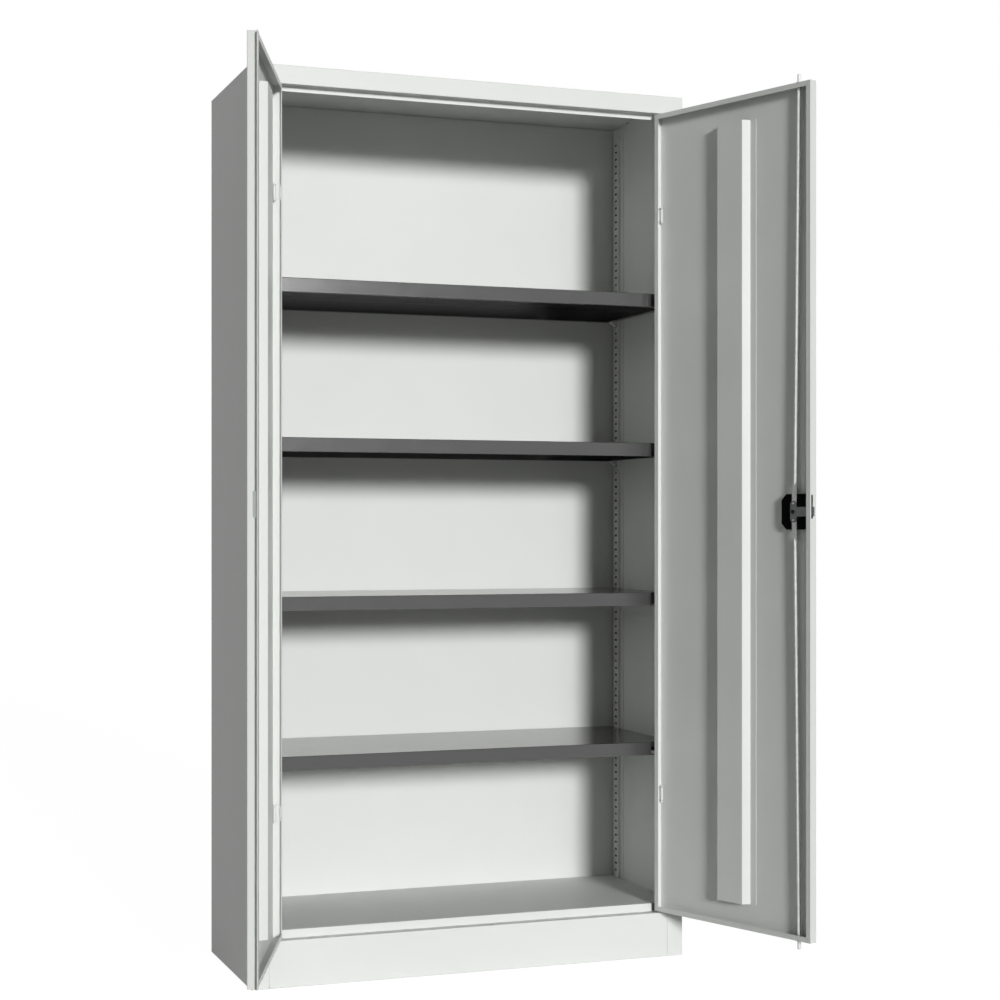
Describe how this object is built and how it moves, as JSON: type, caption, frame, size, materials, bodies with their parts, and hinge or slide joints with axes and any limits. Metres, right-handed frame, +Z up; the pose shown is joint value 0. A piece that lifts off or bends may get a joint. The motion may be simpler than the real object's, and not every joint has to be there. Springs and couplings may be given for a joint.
{
  "type": "hinged door cabinet",
  "caption": "Upright sheet-steel cupboard with hinged doors, tray shelves on perforated rails, and a rod lock worked by a turning handle.",
  "frame": {"origin": "on the floor, in the middle of the plinth's foot flange, 10 mm behind the cabinet's front plane and on its middle plane", "axes": "+X to the right as seen from the front, +Y from the doors towards the back, +Z up"},
  "size_m": [1.2215, 0.8353, 1.95],
  "materials": {
    "grey_paint": "satin powder coat, light grey",
    "shelf_paint": "satin powder coat, dark grey",
    "zinc_plate": "bright zinc plate",
    "dark_steel": "burnished, darkened steel plate",
    "black_plastic": "fine-grained black plastic",
    "black_metal": "black coating"
  },
  "bodies": {
    "carcass": {"left_side_panel": "grey_paint", "right_side_panel": "grey_paint", "top_panel": "grey_paint", "floor_panel": "grey_paint", "back_panel": "grey_paint", "plinth_panel": "grey_paint", "front_left_shelf_rail": "grey_paint", "rear_left_shelf_rail": "grey_paint", "front_right_shelf_rail": "grey_paint", "rear_right_shelf_rail": "grey_paint", "shelf_1": "shelf_paint", "shelf_2": "shelf_paint", "shelf_3": "shelf_paint", "shelf_4": "shelf_paint", "shelf_1_front_left_clip": "zinc_plate", "shelf_1_rear_left_clip": "zinc_plate", "shelf_1_front_right_clip": "zinc_plate", "shelf_1_rear_right_clip": "zinc_plate", "shelf_2_front_left_clip": "zinc_plate", "shelf_2_rear_left_clip": "zinc_plate", "shelf_2_front_right_clip": "zinc_plate", "shelf_2_rear_right_clip": "zinc_plate", "shelf_3_front_left_clip": "zinc_plate", "shelf_3_rear_left_clip": "zinc_plate", "shelf_3_front_right_clip": "zinc_plate", "shelf_3_rear_right_clip": "zinc_plate", "shelf_4_front_left_clip": "zinc_plate", "shelf_4_rear_left_clip": "zinc_plate", "shelf_4_front_right_clip": "zinc_plate", "shelf_4_rear_right_clip": "zinc_plate", "left_upper_hinge_leaf": "grey_paint", "left_lower_hinge_leaf": "grey_paint", "right_upper_hinge_leaf": "grey_paint", "right_lower_hinge_leaf": "grey_paint"},
    "left_door": {"left_door_panel": "grey_paint", "left_door_stiffener": "grey_paint", "left_door_overlap_strip": "grey_paint", "left_upper_hinge_bracket": "grey_paint", "left_upper_hinge_pin": "grey_paint", "left_lower_hinge_bracket": "grey_paint", "left_lower_hinge_pin": "grey_paint"},
    "right_door": {"right_door_panel": "grey_paint", "right_door_stiffener": "grey_paint", "lock_case": "black_plastic", "handle_rosette": "black_metal", "right_upper_hinge_bracket": "grey_paint", "right_upper_hinge_pin": "grey_paint", "right_lower_hinge_bracket": "grey_paint", "right_lower_hinge_pin": "grey_paint"},
    "lock_drive": {"turn_handle": "black_metal", "lock_spindle": "zinc_plate", "lock_cam": "dark_steel", "cam_nut": "black_metal"},
    "key_plug": {"lock_cylinder": "zinc_plate"},
    "upper_guide": {"upper_rod_guide": "black_plastic"},
    "upper_rod": {"upper_lock_rod": "zinc_plate"},
    "lower_guide": {"lower_rod_guide": "black_plastic"},
    "lower_rod": {"lower_lock_rod": "zinc_plate"}
  },
  "joints": [
    {"name": "left_door_swing", "type": "hinge", "parent": "carcass", "child": "left_door", "pos_m": [-0.4502, -0.0056, 1.00565], "axis": [0, 0, -1], "range_deg": [-110, 0]},
    {"name": "right_door_swing", "type": "hinge", "parent": "carcass", "child": "right_door", "pos_m": [0.4502, -0.0056, 1.00565], "axis": [0, 0, 1], "range_deg": [-110, 0]},
    {"name": "handle_turn", "type": "hinge", "parent": "right_door", "child": "lock_drive", "pos_m": [0.58639, -0.37979, 1.00565], "axis": [0.9397, 0.342, 0], "range_deg": [-90, 0]},
    {"name": "key_turn", "type": "hinge", "parent": "lock_drive", "child": "key_plug", "pos_m": [0.58639, -0.37979, 1.00565], "axis": [0.9397, 0.342, 0], "range_deg": [0, 90]},
    {"name": "upper_guide_swing", "type": "hinge", "parent": "right_door", "child": "upper_guide", "pos_m": [0.58523, -0.39298, 1.9071], "axis": [0.9397, 0.342, 0], "range_deg": [0, 1.12]},
    {"name": "upper_rod_slide", "type": "slide", "parent": "upper_guide", "child": "upper_rod", "axis": [0.0046, -0.0128, 0.9999], "range_m": [-0.018, 0]},
    {"name": "lower_guide_swing", "type": "hinge", "parent": "right_door", "child": "lower_guide", "pos_m": [0.58523, -0.39298, 0.1042], "axis": [0.9397, 0.342, 0], "range_deg": [0, 1.15]},
    {"name": "lower_rod_slide", "type": "slide", "parent": "lower_guide", "child": "lower_rod", "axis": [0.0046, -0.0128, -0.9999], "range_m": [-0.0177, 0]}
  ],
  "couplings": [
    {"joint": "handle_turn", "follows": "upper_rod_slide", "rad_per_m": 87.245},
    {"joint": "upper_guide_swing", "follows": "upper_rod_slide", "rad_per_m": -1.0691},
    {"joint": "lower_guide_swing", "follows": "upper_rod_slide", "rad_per_m": -1.0991},
    {"joint": "lower_rod_slide", "follows": "upper_rod_slide", "ratio": 0.974}
  ]
}
